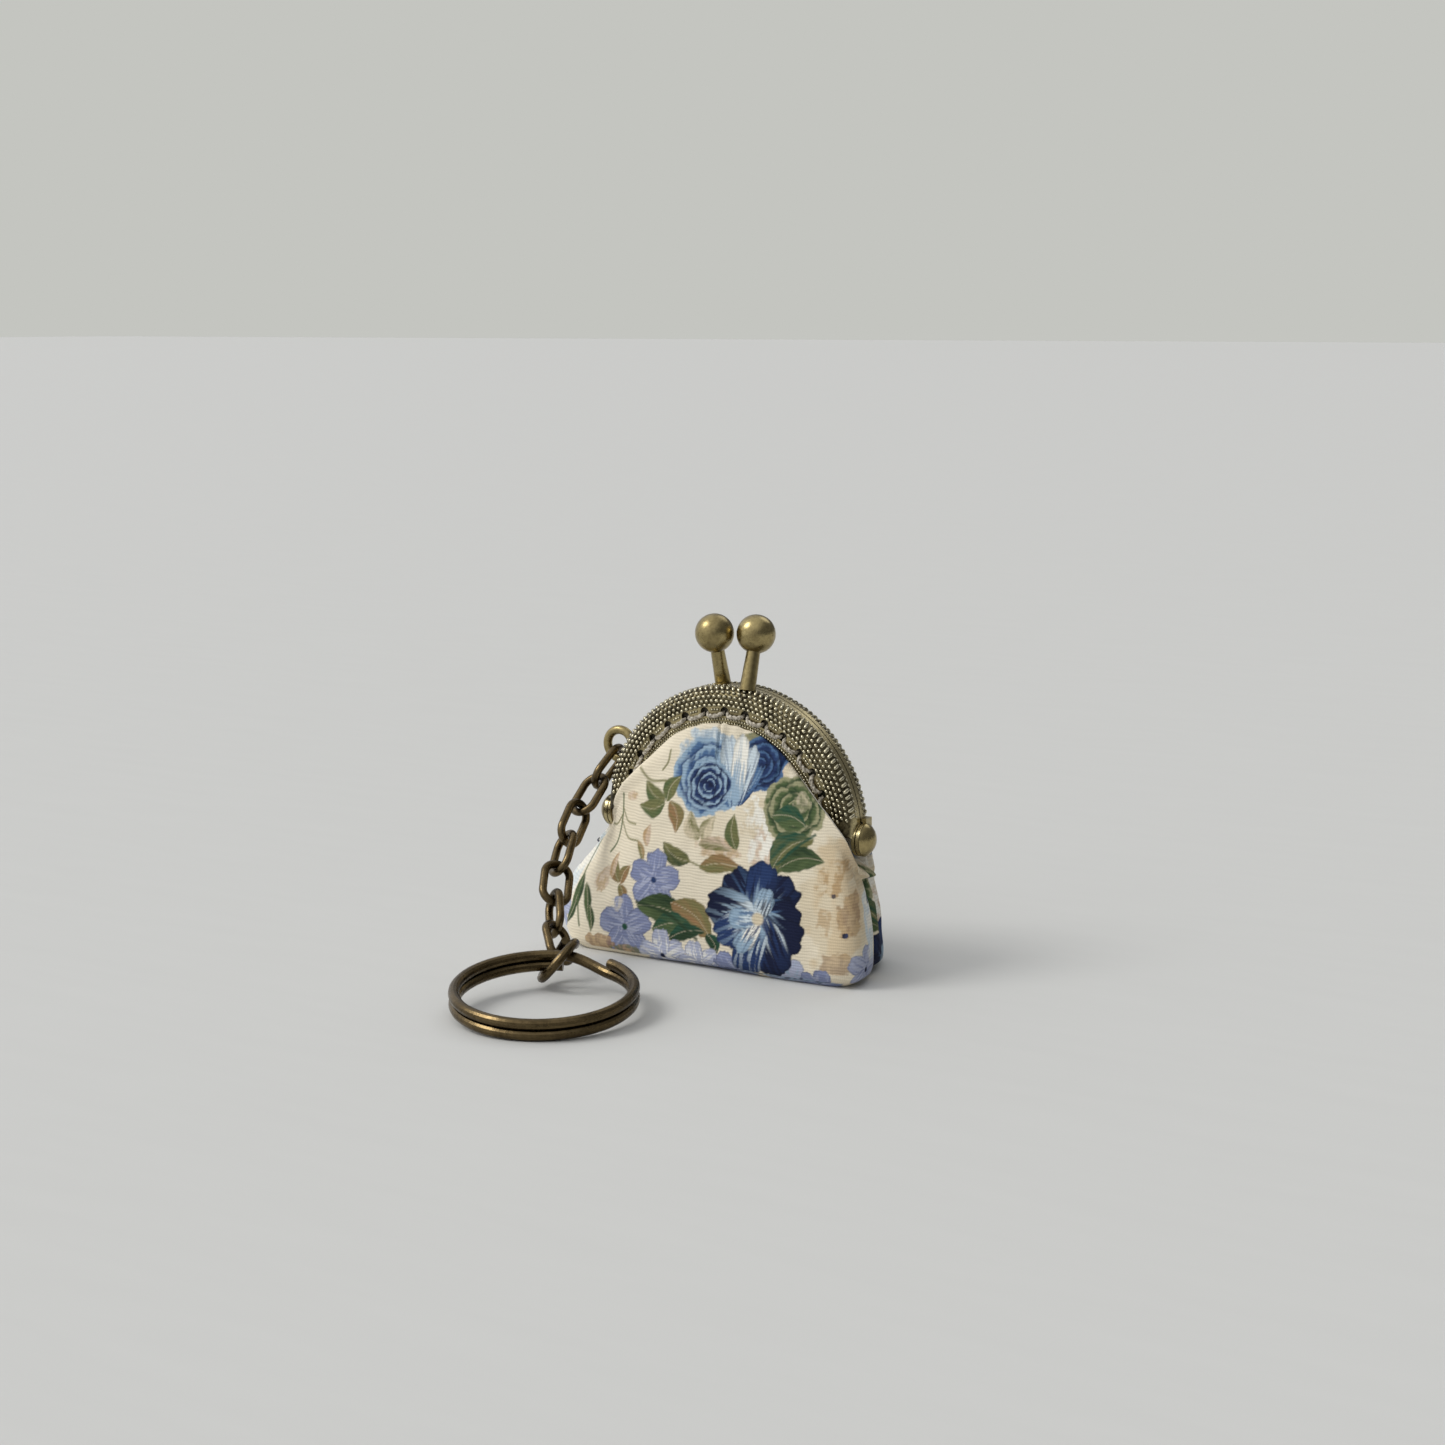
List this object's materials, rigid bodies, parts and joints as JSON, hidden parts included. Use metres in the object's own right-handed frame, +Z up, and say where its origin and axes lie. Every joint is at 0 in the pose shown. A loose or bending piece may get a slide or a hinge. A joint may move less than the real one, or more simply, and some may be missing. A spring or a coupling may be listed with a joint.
{
  "type": "coin purse",
  "caption": "Small coin purse: half-round metal frame with a ball clasp and two rivet hinges, sewn floral cotton bag with a boxed base, and a link chain with a split key ring.",
  "frame": {"origin": "on the table under the middle of the hinge line, in the plane of the bag's base", "axes": "+X along the hinge line to the right of someone facing the front, -Y out of the front with the sewn floral face, +Z up to the clasp balls"},
  "size_m": [0.0467, 0.0588, 0.049],
  "materials": {
    "antique_brass": "antiqued, satin, with bright worn edges",
    "dark_brass": "dark antiqued, satin",
    "printed_cotton": "cream cotton with a small floral print, matt",
    "lining": "plain off-white cotton, matt",
    "thread": "twisted grey-beige thread, matt"
  },
  "bodies": {
    "bag": {"bag_body": "printed_cotton", "lining_body": "lining", "left_rivet": "antique_brass", "right_rivet": "antique_brass"},
    "front_half": {"front_frame": "antique_brass", "front_clasp_stem": "antique_brass", "front_clasp_ball": "antique_brass", "front_stitching": "thread", "front_panel": "printed_cotton", "front_lining": "lining"},
    "back_half": {"back_frame": "antique_brass", "back_clasp_stem": "antique_brass", "back_clasp_ball": "antique_brass", "back_stitching": "thread", "back_panel": "printed_cotton", "back_lining": "lining", "chain_loop": "antique_brass"},
    "link_1": {"chain_link_1": "dark_brass"},
    "link_2": {"chain_link_2": "dark_brass"},
    "link_3": {"chain_link_3": "dark_brass"},
    "link_4": {"chain_link_4": "dark_brass"},
    "link_5": {"chain_link_5": "dark_brass"},
    "link_6": {"chain_link_6": "dark_brass"},
    "link_7": {"chain_link_7": "dark_brass"},
    "jump": {"jump_ring": "dark_brass"},
    "key_ring": {"split_ring": "dark_brass"}
  },
  "joints": [
    {"name": "front_hinge", "type": "hinge", "parent": "bag", "child": "front_half", "pos_m": [0, 0, 0.019], "axis": [1, 0, 0], "range_deg": [0, 35]},
    {"name": "back_hinge", "type": "hinge", "parent": "bag", "child": "back_half", "pos_m": [0, 0, 0.019], "axis": [1, 0, 0], "range_deg": [-35, 0]},
    {"name": "link_1_swing", "type": "hinge", "parent": "back_half", "child": "link_1", "pos_m": [-0.02093, 0.00155, 0.02645], "axis": [0.9397, 0, -0.342], "range_deg": [-45, 15]},
    {"name": "link_2_swing", "type": "hinge", "parent": "link_1", "child": "link_2", "pos_m": [-0.02202, -0.00231, 0.02302], "axis": [-0.2503, 0.6816, -0.6876], "range_deg": [-30, 45]},
    {"name": "link_3_swing", "type": "hinge", "parent": "link_2", "child": "link_3", "pos_m": [-0.02236, -0.0063, 0.01948], "axis": [0.9851, -0.1541, 0.0765], "range_deg": [-30, 30]},
    {"name": "link_4_swing", "type": "hinge", "parent": "link_3", "child": "link_4", "pos_m": [-0.02195, -0.01029, 0.01593], "axis": [0.2611, 0.6562, -0.708], "range_deg": [-55, 60]},
    {"name": "link_5_swing", "type": "hinge", "parent": "link_4", "child": "link_5", "pos_m": [-0.02079, -0.01419, 0.01246], "axis": [0.8437, -0.1934, 0.5007], "range_deg": [-60, 25]},
    {"name": "link_6_swing", "type": "hinge", "parent": "link_5", "child": "link_6", "pos_m": [-0.0189, -0.01793, 0.00914], "axis": [0.6635, 0.6558, -0.3602], "range_deg": [-45, 50]},
    {"name": "link_7_swing", "type": "hinge", "parent": "link_6", "child": "link_7", "pos_m": [-0.01631, -0.02143, 0.00603], "axis": [0.6173, -0.2169, 0.7562], "range_deg": [-55, 30]},
    {"name": "jump_ring_swing", "type": "hinge", "parent": "link_7", "child": "jump", "pos_m": [-0.01392, -0.0238, 0.00392], "axis": [0.5777, 0.2818, 0.766], "range_deg": [-50, 30]},
    {"name": "key_ring_swing", "type": "hinge", "parent": "jump", "child": "key_ring", "pos_m": [-0.01232, -0.02708, 0.00392], "axis": [0.8988, 0.4384, 0], "range_deg": [-50, 50]}
  ],
  "couplings": [
    {"joint": "back_hinge", "follows": "front_hinge", "ratio": -1}
  ]
}
